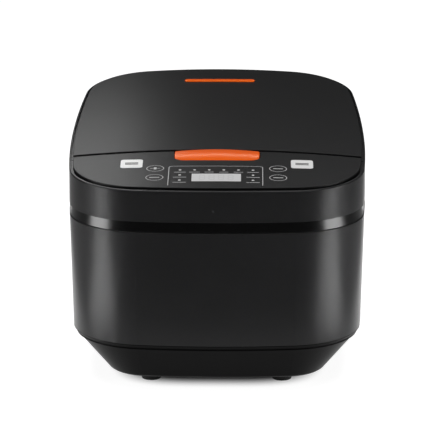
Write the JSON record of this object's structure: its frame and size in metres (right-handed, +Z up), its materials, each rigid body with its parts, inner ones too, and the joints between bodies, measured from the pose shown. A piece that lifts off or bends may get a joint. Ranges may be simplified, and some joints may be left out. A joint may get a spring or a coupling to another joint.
{
  "type": "rice cooker",
  "caption": "Rice cooker with a drafted rounded-square body, a rear-hinged lid, a sloping control panel, a press-to-open button, a lift-out steam vent and an inner pot on a heating plate.",
  "frame": {"origin": "centre of the plan outline, on the table that the feet stand on", "axes": "+X to the right as seen from the front, the front faces -Y, +Z up"},
  "size_m": [0.276, 0.3556, 0.2267],
  "materials": {
    "body_plastic": "satin",
    "base_plastic": "satin",
    "panel_plastic": "satin",
    "band_plastic": "gloss",
    "orange_plastic": "satin",
    "window": "gloss",
    "light_plastic": "satin",
    "key_plastic": "satin",
    "label_plastic": "satin",
    "rubber": "matte",
    "seal_rubber": "matte",
    "liner_plastic": "satin",
    "pot_metal": "satin coated",
    "inner_lid_metal": "satin",
    "heater_metal": "cast",
    "sheet_steel": "satin",
    "spring_steel": "bright",
    "screw_steel": "zinc",
    "latch_plastic": "satin",
    "board_plastic": "satin",
    "part_plastic": "satin",
    "inlet_plastic": "satin",
    "contact_metal": "bright"
  },
  "bodies": {
    "cooker": {"body_shell": "body_plastic", "upper_housing": "body_plastic", "base_cover": "base_plastic", "support_posts": "base_plastic", "control_panel": "panel_plastic", "trim_band": "band_plastic", "display_window": "window", "indicator_lights": "light_plastic", "label_plates": "label_plastic", "rubber_feet": "rubber", "inner_pot": "pot_metal", "heating_plate": "heater_metal", "inner_shell": "sheet_steel", "side_heater": "sheet_steel", "sensor_bracket": "sheet_steel", "hinge_spring": "spring_steel", "button_springs": "spring_steel", "latch_spring": "spring_steel", "sensor_spring": "spring_steel", "hinge_pin": "spring_steel", "latch_pin": "spring_steel", "base_screws": "screw_steel", "board_screws": "screw_steel", "shell_screws": "screw_steel", "control_board": "board_plastic", "power_board": "board_plastic", "display_module": "part_plastic", "tact_switches": "part_plastic", "power_relay": "part_plastic", "power_transformer": "part_plastic", "filter_capacitor": "part_plastic", "thermal_fuse": "part_plastic", "power_inlet": "inlet_plastic", "inlet_pins": "contact_metal", "heater_terminals": "contact_metal"},
    "lid": {"lid_frame": "body_plastic", "lid_panel": "panel_plastic", "lid_liner": "liner_plastic", "lid_screws": "screw_steel", "inner_lid": "inner_lid_metal", "lid_seal": "seal_rubber", "inner_lid_knob": "liner_plastic", "lid_heater": "inner_lid_metal", "lid_sensor": "sheet_steel", "vent_seal": "seal_rubber", "lid_catch": "sheet_steel", "catch_screws": "screw_steel"},
    "vent": {"vent_cap": "orange_plastic", "vent_tray": "liner_plastic"},
    "button": {"release_button": "orange_plastic"},
    "latch": {"latch_lever": "latch_plastic"},
    "sensor": {"sensor_cap": "inner_lid_metal"},
    "left_rear_key": {"key_left_rear": "key_plastic"},
    "right_rear_key": {"key_right_rear": "key_plastic"},
    "left_front_key": {"key_left_front": "key_plastic"},
    "right_front_key": {"key_right_front": "key_plastic"}
  },
  "joints": [
    {"name": "lid_hinge", "type": "hinge", "parent": "cooker", "child": "lid", "pos_m": [0, 0.1698, 0.176], "axis": [-1, 0, 0], "range_deg": [0, 85]},
    {"name": "vent_lift", "type": "slide", "parent": "lid", "child": "vent", "axis": [0, 0, 1], "range_m": [0, 0.036]},
    {"name": "button_press", "type": "slide", "parent": "cooker", "child": "button", "axis": [0, 0, -1], "range_m": [0, 0.004], "stiffness_N_per_m": 500, "springref_m": -0.002, "deforming": ["button_springs"]},
    {"name": "latch_pivot", "type": "hinge", "parent": "cooker", "child": "latch", "pos_m": [0, -0.0739, 0.152], "axis": [1, 0, 0], "range_deg": [0, 13], "deforming": ["latch_spring"]},
    {"name": "sensor_travel", "type": "slide", "parent": "cooker", "child": "sensor", "axis": [0, 0, -1], "range_m": [0, 0.003], "stiffness_N_per_m": 400, "springref_m": -0.004, "deforming": ["sensor_spring"]},
    {"name": "press_left_rear_key", "type": "slide", "parent": "cooker", "child": "left_rear_key", "axis": [0, 0.0851, -0.9964], "range_m": [0, 0.0008], "stiffness_N_per_m": 400, "springref_m": -0.001},
    {"name": "press_right_rear_key", "type": "slide", "parent": "cooker", "child": "right_rear_key", "axis": [0, 0.0851, -0.9964], "range_m": [0, 0.0008], "stiffness_N_per_m": 400, "springref_m": -0.001},
    {"name": "press_left_front_key", "type": "slide", "parent": "cooker", "child": "left_front_key", "axis": [0, 0.0851, -0.9964], "range_m": [0, 0.0008], "stiffness_N_per_m": 400, "springref_m": -0.001},
    {"name": "press_right_front_key", "type": "slide", "parent": "cooker", "child": "right_front_key", "axis": [0, 0.0851, -0.9964], "range_m": [0, 0.0008], "stiffness_N_per_m": 400, "springref_m": -0.001}
  ],
  "couplings": [
    {"joint": "latch_pivot", "follows": "button_press", "rad_per_m": 56.25}
  ]
}
